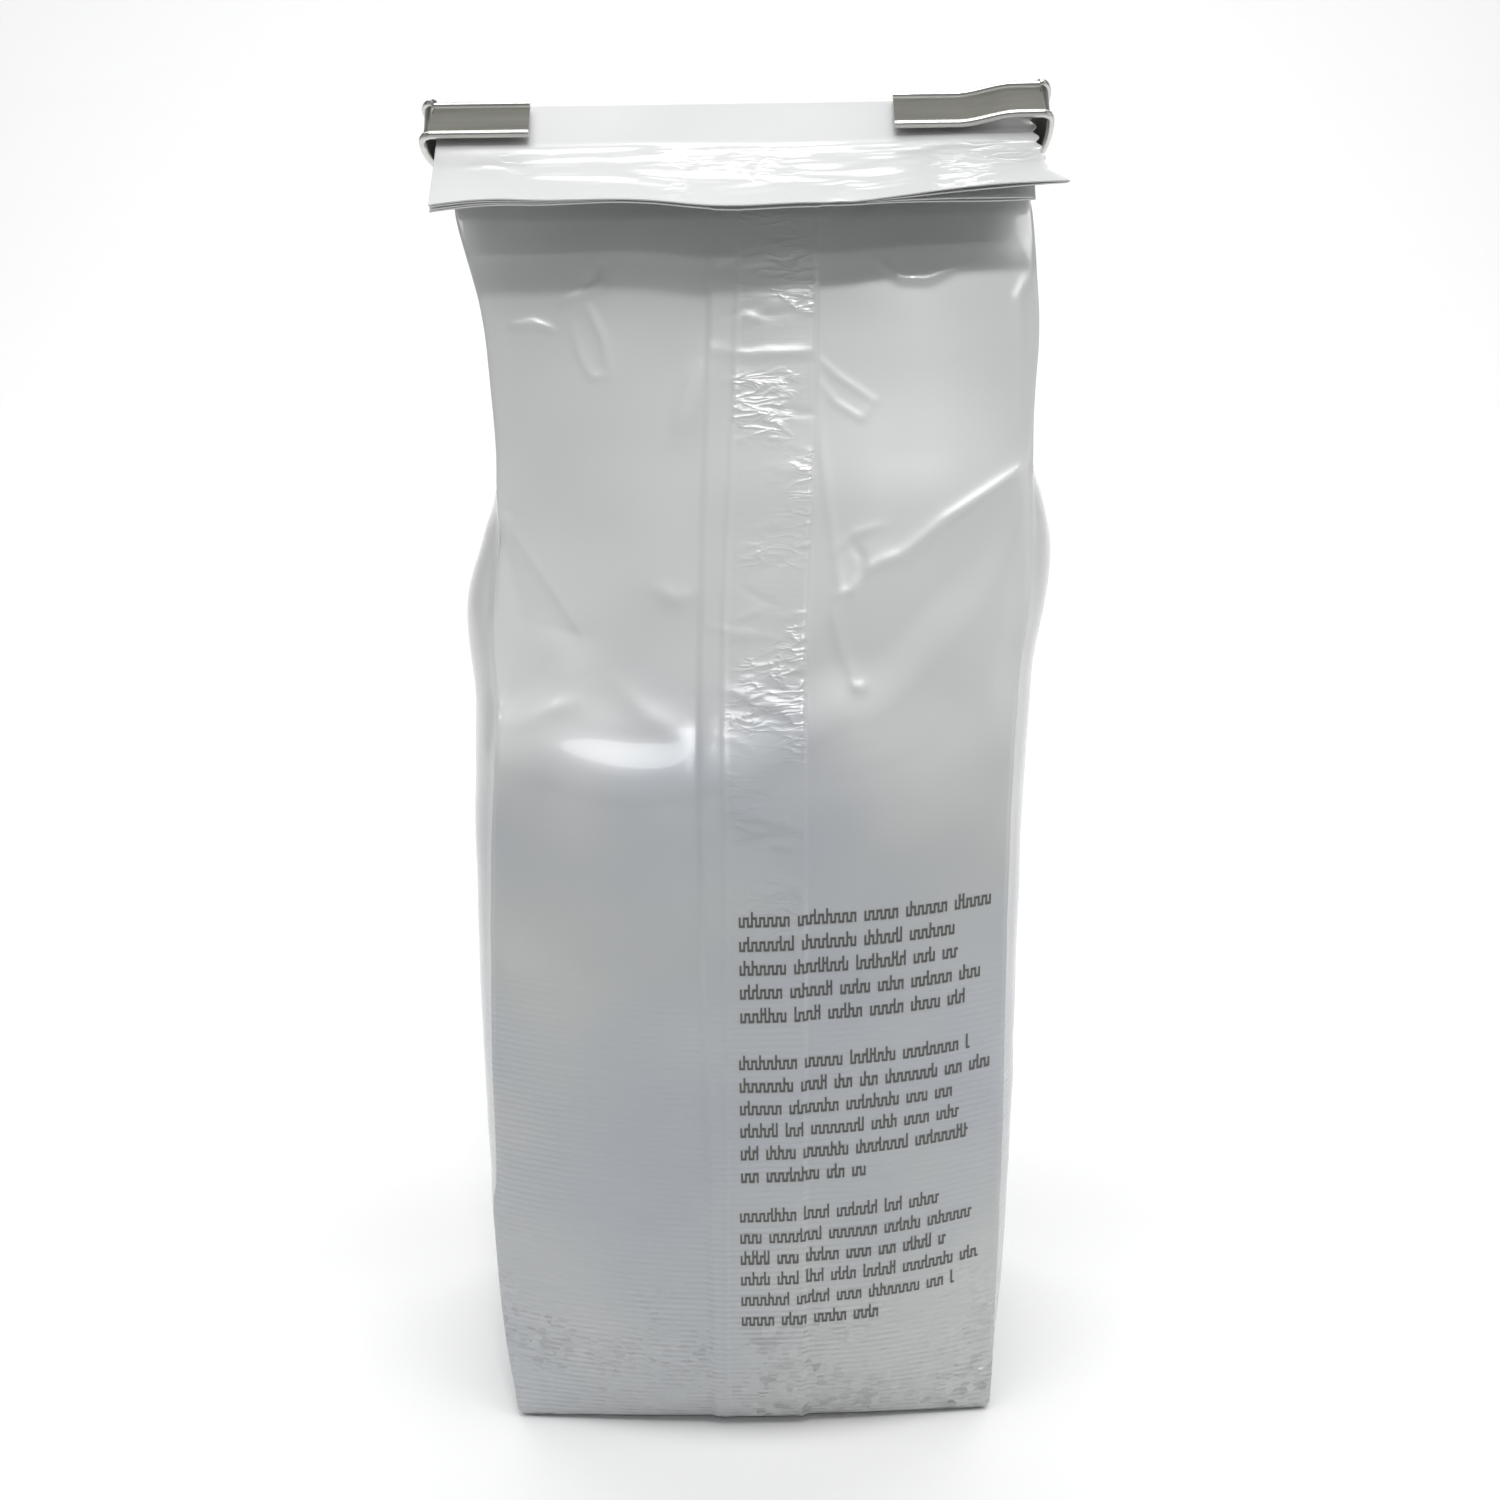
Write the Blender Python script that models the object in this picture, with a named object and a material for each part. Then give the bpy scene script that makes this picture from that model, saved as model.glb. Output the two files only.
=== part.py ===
# Coffee bag: a filled side-gusset bag of laminate film with a folded top,
# held by a flat metal tie whose ends are bent round the fold.
# The seam side of the bag faces -Y, +X is to the right of who looks at it,
# and +Z is up. Sizes are in millimetres, and MM turns them into metres.

import math

import bmesh
import bpy
from mathutils import Vector

MM = 0.001

# Driving sizes of the film and of the filled bag.
GUSSET_HALF = 28.5
NECK_START = 203.0
FOLD_CENTRE_HEIGHT = 211.2
NECK_Y = -2.3
FOLD_RADIUS = 2.6
FOLD_TURN = 132.0
FLAP_LENGTH = 20.0
FLAP_SPREAD = 2.0
FLAP_TIP = 2.0
LOWER_LEAF_IN = 0.6
NECK_HALF_THICK = 0.9
LEAF_THICK = 0.7
PANEL_CORNER = 1.2
BOTTOM_ROUND = 2.2
GUSSET_SWELL = 1.3
SWELL_PER_INSET = 1.25
CROWN_FRONT = 9.5
CROWN_BACK = 8.5

# Heights between which a side gusset stops swelling out, and starts folding in.
LEFT_SWELL_TOP = (150.0, 163.0)
RIGHT_SWELL_TOP = (155.0, 168.0)
LEFT_FOLD_IN = (156.0, 170.0)
RIGHT_FOLD_IN = (160.0, 174.0)

# Half-widths of the filled bag, left and right of the middle, by height.
LEFT_EDGE = ((0, 40.2), (20, 42.0), (55, 42.8), (100, 42.2), (124, 41.2), (139, 41.9),
             (155, 37.9), (168, 37.6), (185, 39.4), (198, 43.0), (206, 44.2))
RIGHT_EDGE = ((0, 40.6), (20, 41.4), (50, 42.3), (105, 42.9), (127, 44.0), (147, 46.6),
              (162, 44.2), (180, 45.2), (196, 45.0), (206, 44.3))

# How far the creases along the panels' edges lie inside those half-widths.
LEFT_CREASE_IN = ((0, 0.0), (41, 0.0), (46, 0.8), (70, 1.3), (100, 2.2), (128, 3.0),
                  (140, 3.1), (149, 1.6), (156, 0.2), (160, 0.0), (206, 0.0))
RIGHT_CREASE_IN = ((0, 0.4), (30, 1.0), (60, 1.4), (110, 1.8), (135, 2.2), (147, 2.8),
                   (154, 1.6), (161, 0.2), (166, 0.0), (206, 0.0))

# Half of the distance between the front and back panels at their side edges.
LEFT_DEPTH = ((0, 27.5), (20, 28.0), (60, 28.2), (108, 28.2), (116, 27.6), (122, 25.4),
              (128, 22.8), (136, 20.4), (148, 17.9), (160, 16.0), (170, 14.1), (180, 11.7),
              (191, 8.2), (199, 4.2), (203, 1.9))
RIGHT_DEPTH = ((0, 27.5), (20, 28.0), (60, 28.2), (115, 28.2), (125, 27.6), (135, 26.0),
               (150, 23.6), (157, 22.5), (164, 20.2), (172, 17.3), (180, 14.2), (191, 9.2),
               (199, 4.4), (203, 1.9))

# Heights across the front panel of the coffee's shoulder, and of the ridge
# above it where the film turns back to the neck.
SHOULDER_LINE = ((-44, 122), (-38, 120.5), (-33, 118.5), (-25, 116.5), (-16, 115.5), (-7, 118),
                 (4, 122), (13, 127), (20, 128), (28, 136), (37, 144), (44, 158))
RIDGE_LINE = ((-44, 126), (-38, 123), (-25, 119), (-16, 118), (-7, 121), (4, 130), (13, 140),
              (19, 147), (24, 149), (30, 153.5), (38, 158), (44, 161.5))

RIDGE_SOFT = 2.5

# Lapped seam down the front panel: its two sides and how far it stands out.
SEAM_LEFT = ((0, -6.8), (60, -6.8), (115, -6.9), (145, -6.2), (180, -4.6), (205, -3.6))
SEAM_RIGHT = ((0, 8.4), (95, 9.0), (132, 9.3), (155, 10.6), (178, 11.6), (205, 12.2))
SEAM_RAISE = 0.5
SEAM_STEP = 0.8

# Creases pressed into the front panel: points across and up, height, width.
FRONT_CREASES = (
    (((-38.4, 121.4), (-31.5, 129), (-24.5, 135.8)), -0.5, 2.4),
    (((-24.5, 135.5), (-28, 141), (-33, 149), (-38, 155)), -0.35, 3.2),
    (((-38.5, 121.7), (-32, 124.5), (-25.9, 126.4)), 0.35, 2.4),
    (((44.6, 161.8), (38.2, 158.1), (30.2, 153.5), (23.9, 148.7), (19.3, 147.2)), 0.75, 2.0),
    (((11.5, 175.5), (11.9, 166), (13, 157), (13.9, 149)), 0.5, 1.6),
    (((14.2, 148), (14.6, 144), (13.7, 139.7), (14.9, 134.5), (16.9, 130)), 0.6, 1.8),
    (((16.5, 150.5), (18, 148), (17.4, 144)), -0.5, 1.8),
    (((12.8, 120.2), (21.3, 122.4), (29.9, 124.4)), -0.5, 3.0),
    (((-5, 177), (-6.6, 171.5), (-8.9, 165.5)), 0.6, 2.2),
    (((-34.3, 181.8), (-31, 182.2), (-25.2, 181.7), (-22.4, 174.2)), 0.4, 1.8),
    (((20.8, 190.9), (24.5, 188.2), (31.7, 189.2)), 0.4, 1.8),
    (((-41.5, 84), (-37, 82), (-31, 83.5)), -0.5, 3.2),
)

# Flat-sided dent over a triangle at the left shoulder: its corners and depth.
LEFT_DENT = ((-38.6, 155.5), (-24.5, 135.8), (-38.6, 121.7))
LEFT_DENT_DEPTH = 1.5

# Softer creases of the back panel, which the photograph does not show.
BACK_CREASES = (
    (((-43, 150), (-30, 140), (-18, 131)), 1.4, 3.0),
    (((42, 158), (30, 146), (16, 139), (6, 136)), 1.2, 3.0),
    (((-40, 126), (-26, 121), (-12, 122)), -1.2, 4.0),
    (((20, 176), (24, 166), (22, 156)), 0.8, 2.6),
)

# How much longer or shorter the flap is across its lower edge.
FLAP_EDGE = ((-46, 1.4), (-44, 0.6), (-36, -0.4), (-28, -0.2), (-18, -0.4), (-12, 0.0),
             (-4.5, 1.1), (1, 1.3), (9, 0.9), (16, 0.9), (22, 0.3), (31, -0.5), (41, -1.1),
             (46, -1.3))

# Columns of points round one ring.
LEFT_COLUMNS = 11
SEAM_COLUMNS = 5
RIGHT_COLUMNS = 11
BACK_COLUMNS = 16
GUSSET_COLUMNS = 4
RING_STEP_LOW = 6.5
RING_STEP_HIGH = 3.9
DENTED_FROM = 112.0
ARC_RINGS = 8
FLAP_RINGS = 5

# The metal tie: a flat strip with a rolled rim along each side.
TIE_HEIGHT = 7.4
TIE_RIM_RADIUS = 0.6
TIE_WEB_HALF = 0.2
TIE_GAP = 0.35
TIE_DROP_LEFT = 4.4
TIE_DROP_RIGHT = 3.6
TIE_DROP_BEHIND = 3.0
TIE_LEFT_END = -30.5
TIE_RIGHT_END = 23.5
TIE_BEND = 1.7
TIE_LIFT = 1.7
TIE_LIFT_FROM = 33.0
TIE_LIFT_TO = 41.5
RIM_SIDES = 6
BEND_STEPS = 9


def clamp(value):
    return max(0.0, min(1.0, value))


def ease(value):
    value = clamp(value)
    return value * value * (3.0 - 2.0 * value)


def along(table, at):
    """Read a table of (place, size) rows on a smooth curve."""
    if at <= table[0][0]:
        return table[0][1]
    if at >= table[-1][0]:
        return table[-1][1]
    rows = len(table)
    k = max(i for i in range(rows - 1) if table[i][0] <= at)
    x0, y0 = table[k]
    x1, y1 = table[k + 1]
    step = x1 - x0
    slope = (y1 - y0) / step
    before = slope
    after = slope
    if k > 0:
        before = (y1 - table[k - 1][1]) / (x1 - table[k - 1][0])
    if k < rows - 2:
        after = (table[k + 2][1] - y0) / (table[k + 2][0] - x0)
    t = (at - x0) / step
    return (y0 * (1 + 2 * t) * (1 - t) ** 2 + step * before * t * (1 - t) ** 2
            + y1 * t * t * (3 - 2 * t) + step * after * t * t * (t - 1))


def distance_to_line(points, x, z):
    nearest = 1e9
    for (ax, az), (bx, bz) in zip(points, points[1:]):
        dx = bx - ax
        dz = bz - az
        t = clamp(((x - ax) * dx + (z - az) * dz) / (dx * dx + dz * dz))
        nearest = min(nearest, math.hypot(x - ax - t * dx, z - az - t * dz))
    return nearest


def creases(rows, x, z):
    total = 0.0
    for points, height, width in rows:
        total += height * math.exp(-(distance_to_line(points, x, z) / width) ** 2)
    return total


def dent(corners, depth, x, z):
    """Depth of a dent with flat sides over a triangle, deepest in its middle."""
    middle_x = sum(c[0] for c in corners) / 3
    middle_z = sum(c[1] for c in corners) / 3
    inside = 1e9
    for (ax, az), (bx, bz) in zip(corners, corners[1:] + corners[:1]):
        nx = bz - az
        nz = ax - bx
        reach = (middle_x - ax) * nx + (middle_z - az) * nz
        inside = min(inside, ((x - ax) * nx + (z - az) * nz) / reach)
    return depth * (1.0 - math.exp(-1.6 * max(0.0, inside)))


def edge_half(x, z):
    """Distance from the middle to the panel's own edge crease, on the side of x."""
    if x > 0:
        return along(RIGHT_EDGE, z) - along(RIGHT_CREASE_IN, z)
    return along(LEFT_EDGE, z) - along(LEFT_CREASE_IN, z)


def panel_out(x, z, crown, fall, rows):
    half = edge_half(x, z)
    across = 1.0 - clamp(abs(x) / half) ** 2.2
    full = crown * (1.0 - math.exp(-(z + 0.5) / 9.0))
    rim = 0.25 + 0.75 * ease((half - abs(x)) / 2.5)
    return full * fall * across + creases(rows, x, z) * rim


def front_stand_out(x, z):
    """How far the front panel stands out of the plane of its side edges."""
    above = z - along(SHOULDER_LINE, x)
    past = z - along(RIDGE_LINE, x)
    climb = 0.5 * (past + math.hypot(past, RIDGE_SOFT))
    fall = (1.0 - 0.26 * ease((above + 4) / 11) - 0.46 * (1 - math.exp(-climb / 12))
            - 0.26 * ease(above / 80))
    out = panel_out(x, z, CROWN_FRONT, fall, FRONT_CREASES)
    out -= dent(LEFT_DENT, LEFT_DENT_DEPTH, x, z)
    fade = ease((NECK_START - z) / 14.0)
    left = along(SEAM_LEFT, z)
    right = along(SEAM_RIGHT, z)
    lap = ease((x - left) / SEAM_STEP + 0.5) * ease((right - x) / SEAM_STEP + 0.5)
    return out * fade + SEAM_RAISE * lap * (0.4 + 0.6 * fade)


def back_stand_out(x, z):
    fall = 1.0 - 0.6 * ease((z - 112) / 24) - 0.38 * ease((z - 125) / 72)
    out = panel_out(x, z, CROWN_BACK, fall, BACK_CREASES)
    return out * ease((NECK_START - z) / 14.0)


def stations():
    """Rings up the bag, round the fold and down the flap.

    Each one is a height used for the sizes, the ring's middle (y, z), the way
    its front side points, and the distance past the fold.
    """
    rows = []
    front = (-1.0, 0.0)
    for part in (0.0, 0.35, 0.75):
        level = BOTTOM_ROUND * part
        rows.append((level, (0.0, level), front, 0.0))
    z = BOTTOM_ROUND * 1.6
    while z < NECK_START:
        middle = NECK_Y * ease((z - 145) / (NECK_START - 145))
        rows.append((z, (middle, z), front, 0.0))
        z += RING_STEP_LOW if z < DENTED_FROM else RING_STEP_HIGH
    rows.append((NECK_START, (NECK_Y, NECK_START), front, 0.0))
    mid = 0.5 * (NECK_START + FOLD_CENTRE_HEIGHT)
    rows.append((mid, (NECK_Y, mid), front, 0.0))
    for i in range(ARC_RINGS + 1):
        turn = math.radians(FOLD_TURN) * i / ARC_RINGS
        centre_y = NECK_Y - FOLD_RADIUS
        middle = (centre_y + FOLD_RADIUS * math.cos(turn),
                  FOLD_CENTRE_HEIGHT + FOLD_RADIUS * math.sin(turn))
        inward = (-math.cos(turn), -math.sin(turn))
        rows.append((FOLD_CENTRE_HEIGHT, middle, inward, 0.0))
    start = rows[-1][1]
    inward = rows[-1][2]
    down = (inward[1], -inward[0])
    for i in range(1, FLAP_RINGS + 1):
        run = FLAP_LENGTH * i / FLAP_RINGS
        middle = (start[0] + down[0] * run, start[1] + down[1] * run)
        rows.append((FOLD_CENTRE_HEIGHT, middle, inward, run))
    return rows


def ring(level, middle, front, run):
    """One closed ring of points, anticlockwise seen from its upper side."""
    mouth = run / FLAP_LENGTH
    left_in = along(LEFT_CREASE_IN, level)
    right_in = along(RIGHT_CREASE_IN, level)
    half_left = along(LEFT_EDGE, level) + 0.3 * mouth - left_in
    half_right = along(RIGHT_EDGE, level) - right_in - LOWER_LEAF_IN * mouth
    spread = (FLAP_SPREAD + LOWER_LEAF_IN) * mouth ** 2 + FLAP_TIP * ease((mouth - 0.8) / 0.2)
    round_in = BOTTOM_ROUND * (1 - math.sqrt(1 - (1 - clamp(level / BOTTOM_ROUND)) ** 2))
    edge_left = along(LEFT_DEPTH, level)
    edge_right = along(RIGHT_DEPTH, level)
    folded = ease((level - (NECK_START - 6)) / 6.0)
    corner = PANEL_CORNER + (LEAF_THICK - PANEL_CORNER) * folded
    slot_left = (edge_left - corner) * (1 - folded) + (0.22 + 0.2 * mouth) * folded
    slot_right = (edge_right - corner) * (1 - folded) + (0.22 + 1.0 * mouth ** 1.5) * folded
    half_left -= round_in
    half_right -= round_in
    points = []

    def put(x, out):
        longer = along(FLAP_EDGE, x) * ease((mouth - 0.3) / 0.7)
        points.append((x, middle[0] + front[0] * out + front[1] * longer,
                       middle[1] + front[1] * out - front[0] * longer))

    def depth_at(x):
        slot = slot_left + (slot_right - slot_left) * ease((x + 34) / 68)
        part = clamp(abs(x) / (half_left if x < 0 else half_right))
        open_edge = slot + corner
        thin = NECK_HALF_THICK + (open_edge - NECK_HALF_THICK) * ease((part - 0.35) / 0.6)
        return (open_edge * (1 - folded) + thin * folded) - round_in

    seam_l = along(SEAM_LEFT, level)
    seam_r = along(SEAM_RIGHT, level)
    front_x = []
    inner_left = -half_left + 0.5 * corner
    inner_right = half_right - 0.5 * corner
    for i in range(LEFT_COLUMNS):
        front_x.append(inner_left + (seam_l - SEAM_STEP - inner_left) * i / LEFT_COLUMNS)
    front_x.append(seam_l - 0.5 * SEAM_STEP)
    for i in range(SEAM_COLUMNS + 1):
        first = seam_l + 0.5 * SEAM_STEP
        last = seam_r - 0.5 * SEAM_STEP
        front_x.append(first + (last - first) * i / SEAM_COLUMNS)
    front_x.append(seam_r + 0.5 * SEAM_STEP)
    for i in range(1, RIGHT_COLUMNS + 1):
        first = seam_r + SEAM_STEP
        front_x.append(first + (inner_right - first) * i / RIGHT_COLUMNS)
    for x in front_x:
        put(x, depth_at(x) + front_stand_out(x, level))

    def gusset(side, half, slot, crease_in, swell_top, fold_in, wider):
        folding = ease((level - fold_in[0]) / (fold_in[1] - fold_in[0]))
        swelled = 1 - ease((level - swell_top[0]) / (swell_top[1] - swell_top[0]))
        inset = math.sqrt(max(0.0, GUSSET_HALF ** 2 - slot ** 2)) * folding
        swell = (GUSSET_SWELL + SWELL_PER_INSET * crease_in) * ease(level / 25.0) * swelled
        put(side * half, slot + 0.5 * corner - round_in)
        for i in range(GUSSET_COLUMNS * 2 + 1):
            u = math.sin((1.0 - i / GUSSET_COLUMNS) * math.pi / 2)
            into = inset * (1 - abs(u)) - swell * (1 - abs(u) ** 5) + 0.5 * corner * abs(u)
            put(side * (half - into + wider * (1 - u) / 2), u * (slot - round_in))
        put(side * (half + wider), -(slot + 0.5 * corner - round_in))

    gusset(1.0, half_right, slot_right, right_in, RIGHT_SWELL_TOP, RIGHT_FOLD_IN, spread)
    for i in range(BACK_COLUMNS + 1):
        x = inner_right + spread + (inner_left - inner_right - spread) * i / BACK_COLUMNS
        put(x, -(depth_at(x) + back_stand_out(x, level)))
    after_back = len(points)
    gusset(-1.0, half_left, slot_left, left_in, LEFT_SWELL_TOP, LEFT_FOLD_IN, 0.0)
    points[after_back:] = points[:after_back - 1:-1]
    return points


def make_material(name, colour, roughness, metallic):
    material = bpy.data.materials.new(name)
    material.use_nodes = True
    shader = material.node_tree.nodes["Principled BSDF"]
    shader.inputs["Base Color"].default_value = (*colour, 1.0)
    shader.inputs["Roughness"].default_value = roughness
    shader.inputs["Metallic"].default_value = metallic
    return material


def skin(name, rings, material):
    """A closed solid from rings of equal length, with flat ends."""
    bm = bmesh.new()
    rows = []
    for points in rings:
        rows.append([bm.verts.new(Vector(p) * MM) for p in points])
    for lower, upper in zip(rows, rows[1:]):
        count = len(lower)
        for i in range(count):
            j = (i + 1) % count
            bm.faces.new((lower[i], lower[j], upper[j], upper[i]))
    bm.faces.new(list(reversed(rows[0])))
    bm.faces.new(rows[-1])
    bmesh.ops.recalc_face_normals(bm, faces=bm.faces)
    bmesh.ops.triangulate(bm, faces=bm.faces)
    mesh = bpy.data.meshes.new(name)
    bm.to_mesh(mesh)
    bm.free()
    mesh.materials.append(material)
    mesh.shade_smooth()
    mesh.set_sharp_from_angle(angle=math.radians(35))
    body = bpy.data.objects.new(name, mesh)
    bpy.context.collection.objects.link(body)
    return body


def make_bag():
    film = make_material("laminate_film", (0.72, 0.73, 0.74), 0.28, 0.15)
    return skin("bag", [ring(*row) for row in stations()], film)


def tie_section():
    """Outline of the strip across its height: a thin web between two round rims."""
    reach = TIE_HEIGHT / 2 - TIE_RIM_RADIUS
    first = math.asin(TIE_WEB_HALF / TIE_RIM_RADIUS)
    outline = []
    for side in (1, -1):
        for i in range(RIM_SIDES):
            turn = -math.pi + first + (2 * math.pi - 2 * first) * i / (RIM_SIDES - 1)
            outline.append((side * (reach + TIE_RIM_RADIUS * math.cos(turn)),
                            side * TIE_RIM_RADIUS * math.sin(turn)))
    return outline


def tie_path():
    """Middle line of the strip and the way its height points, end to end."""
    turn = math.radians(FOLD_TURN)
    arc_end = (NECK_Y - FOLD_RADIUS + FOLD_RADIUS * math.cos(turn),
               FOLD_CENTRE_HEIGHT + FOLD_RADIUS * math.sin(turn))
    down = Vector((0.0, -math.sin(turn), math.cos(turn)))
    face = Vector((0.0, math.cos(turn), math.sin(turn)))
    stand = LEAF_THICK + 0.35 + TIE_GAP + TIE_RIM_RADIUS
    on_flap = Vector((0.0, arc_end[0], arc_end[1])) + face * stand
    behind = Vector((0.0, NECK_Y + stand, FOLD_CENTRE_HEIGHT - TIE_DROP_BEHIND))
    up = Vector((0.0, 0.0, 1.0))
    path = []

    def flap_point(x):
        lift = TIE_LIFT * ease((x - TIE_LIFT_FROM) / (TIE_LIFT_TO - TIE_LIFT_FROM))
        drop = TIE_DROP_LEFT if x < 0 else TIE_DROP_RIGHT
        return Vector((x, 0, 0)) + on_flap + down * drop + face * lift

    def bend(side, edge, first, last, first_up, last_up):
        for i in range(BEND_STEPS + 1):
            angle = math.pi * i / BEND_STEPS
            part = 0.5 - 0.5 * math.cos(angle)
            place = first.lerp(last, part)
            place.x = side * (edge + TIE_BEND * math.sin(angle))
            path.append((place, first_up.lerp(last_up, part).normalized()))

    left_edge = along(LEFT_EDGE, FOLD_CENTRE_HEIGHT) + 0.75
    right_edge = along(RIGHT_EDGE, FOLD_CENTRE_HEIGHT) + 0.95
    for part in (0.0, 0.5):
        x = TIE_LEFT_END + (-left_edge - TIE_LEFT_END) * part
        path.append((flap_point(x), -down))
    bend(-1, left_edge, flap_point(-left_edge), behind, -down, up)
    for i in range(1, 12):
        x = -left_edge + (left_edge + right_edge) * i / 12
        path.append((behind + Vector((x, 0, 0)), up))
    bend(1, right_edge, behind, flap_point(right_edge), up, -down)
    steps = 9
    for i in range(1, steps + 1):
        x = right_edge + (TIE_RIGHT_END - right_edge) * i / steps
        path.append((flap_point(x), -down))
    return path


def make_tie():
    metal = make_material("tinned_steel", (0.62, 0.62, 0.6), 0.3, 1.0)
    path = tie_path()
    outline = tie_section()
    rings = []
    for i, (place, height) in enumerate(path):
        before = path[max(i - 1, 0)][0]
        after = path[min(i + 1, len(path) - 1)][0]
        tangent = (after - before).normalized()
        height = (height - tangent * height.dot(tangent)).normalized()
        normal = tangent.cross(height)
        rings.append([place + height * a + normal * b for a, b in outline])
    return skin("tin_tie", rings, metal)


def centre_on_base(bodies):
    """Put the middle of the whole model's box over the origin."""
    corners = [v.co for body in bodies for v in body.data.vertices]
    shift = Vector((0.0, 0.0, -min(c.z for c in corners)))
    for axis in (0, 1):
        low = min(c[axis] for c in corners)
        high = max(c[axis] for c in corners)
        shift[axis] = -0.5 * (low + high)
    for body in bodies:
        for vertex in body.data.vertices:
            vertex.co += shift


for old in list(bpy.data.objects):
    bpy.data.objects.remove(old, do_unlink=True)
centre_on_base([make_bag(), make_tie()])
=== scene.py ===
# Looks of the coffee bag: a filled side-gusset bag of glossy laminate film,
# its top folded once and held by a flat tie of tinned steel.
import math
import random

import bpy
import numpy as np
from mathutils import Matrix, Vector


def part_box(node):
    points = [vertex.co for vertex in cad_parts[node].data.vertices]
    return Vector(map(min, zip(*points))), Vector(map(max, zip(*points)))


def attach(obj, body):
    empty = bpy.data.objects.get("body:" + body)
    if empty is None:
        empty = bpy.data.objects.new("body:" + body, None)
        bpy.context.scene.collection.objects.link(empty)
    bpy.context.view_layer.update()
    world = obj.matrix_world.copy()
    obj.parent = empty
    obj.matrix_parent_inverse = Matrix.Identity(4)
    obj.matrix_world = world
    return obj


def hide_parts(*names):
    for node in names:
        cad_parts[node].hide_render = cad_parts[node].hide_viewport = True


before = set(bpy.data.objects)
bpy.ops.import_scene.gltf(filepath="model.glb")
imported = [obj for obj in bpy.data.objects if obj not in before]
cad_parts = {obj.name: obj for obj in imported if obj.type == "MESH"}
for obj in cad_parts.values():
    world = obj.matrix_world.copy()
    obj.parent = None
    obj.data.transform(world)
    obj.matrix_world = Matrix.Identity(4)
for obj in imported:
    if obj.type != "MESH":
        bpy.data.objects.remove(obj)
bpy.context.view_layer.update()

# The film bag
# One web of laminated film, formed to a tube with a lapped seam down the back
# panel and a gusset in each side, filled, heat-sealed across the mouth and
# folded once. All sizes in this section are in millimetres.

MM = 0.001
BAG_FOLD_HEIGHT = 211.2
NECK_START = 203.0
NECK_Y = -2.3
FOLD_RADIUS = 2.6
FOLD_TURN = math.radians(132.0)
FLAP_LENGTH = 20.0
GUSSET_HALF = 28.5
GUSSET_SWELL = 1.3
SWELL_PER_INSET = 1.25
CROWN_FRONT = 9.5
CROWN_BACK = 8.5
LEFT_SWELL_TOP = (150.0, 163.0)
RIGHT_SWELL_TOP = (155.0, 168.0)
LEFT_FOLD_IN = (156.0, 170.0)
RIGHT_FOLD_IN = (160.0, 174.0)
PANEL_CORNER = 1.0
LEAF_THICK = 0.34
NECK_HALF_THICK = 0.42
BOTTOM_ROUND = 2.2
BOTTOM_STEPS = 6
NECK_STEPS = 6
FOLD_STEPS = 13
FLAP_STEPS = 58
NECK_LEAN_START = 145.0
SHOULDER_DROP = 0.26
SHOULDER_BELOW = 4.0
SHOULDER_RUN = 11.0
RIDGE_DROP = 0.46
RIDGE_RUN = 12.0
RIDGE_SOFT = 2.5
UPPER_DROP = 0.26
UPPER_RUN = 80.0
BACK_SHOULDER = (112.0, 24.0, 0.6)
BACK_UPPER = (125.0, 72.0, 0.38)
NECK_FADE = 14.0
# Uneven waves of the film, each as height, length and seed.
EDGE_WAVE = (0.18, 15, 31)
PANEL_WAVE = (0.32, 34, 21)
FLAP_WAVE = (0.05, 30, 43)
GUSSET_WAVE = (0.5, 16, 51)

LEFT_EDGE = ((0, 40.2), (20, 42.0), (55, 42.8), (100, 42.2), (124, 41.2), (139, 41.9),
             (155, 37.9), (168, 37.6), (185, 39.4), (198, 43.0), (206, 44.2))
RIGHT_EDGE = ((0, 40.6), (20, 41.4), (50, 42.3), (105, 42.9), (127, 44.0), (147, 46.6),
              (162, 44.2), (180, 45.2), (196, 45.0), (206, 44.3))
LEFT_CREASE_IN = ((0, 0.0), (41, 0.0), (46, 0.8), (70, 1.3), (100, 2.2), (128, 3.0),
                  (140, 3.1), (149, 1.6), (156, 0.2), (160, 0.0), (206, 0.0))
RIGHT_CREASE_IN = ((0, 0.4), (30, 1.0), (60, 1.4), (110, 1.8), (135, 2.2), (147, 2.8),
                   (154, 1.6), (161, 0.2), (166, 0.0), (206, 0.0))
LEFT_DEPTH = ((0, 27.5), (20, 28.0), (60, 28.2), (108, 28.2), (116, 27.6), (122, 25.4),
              (128, 22.8), (136, 20.4), (148, 17.9), (160, 16.0), (170, 14.1), (180, 11.7),
              (191, 8.2), (199, 4.2), (203, 1.9))
RIGHT_DEPTH = ((0, 27.5), (20, 28.0), (60, 28.2), (115, 28.2), (125, 27.6), (135, 26.0),
               (150, 23.6), (157, 22.5), (164, 20.2), (172, 17.3), (180, 14.2), (191, 9.2),
               (199, 4.4), (203, 1.9))
SHOULDER_LINE = ((-44, 122), (-38, 120.5), (-33, 118.5), (-25, 116.5), (-16, 115.5), (-7, 118),
                 (4, 122), (13, 127), (20, 128), (28, 136), (37, 144), (44, 158))
RIDGE_LINE = ((-44, 126), (-38, 123), (-25, 119), (-16, 118), (-7, 121), (4, 130), (13, 140),
              (19, 147), (24, 149), (30, 153.5), (38, 158), (44, 161.5))
SEAM_LEFT = ((0, -6.8), (60, -6.8), (115, -6.9), (145, -6.2), (180, -4.6), (205, -3.6))
SEAM_RIGHT = ((0, 8.4), (95, 9.0), (132, 9.3), (155, 10.6), (178, 11.6), (205, 12.2))
SEAM_INNER = ((0, -4.8), (60, -3.8), (100, -3.2), (138, -2.8), (158, -1.6), (190, 0.2))
SEAM_RAISE = 0.5
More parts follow.
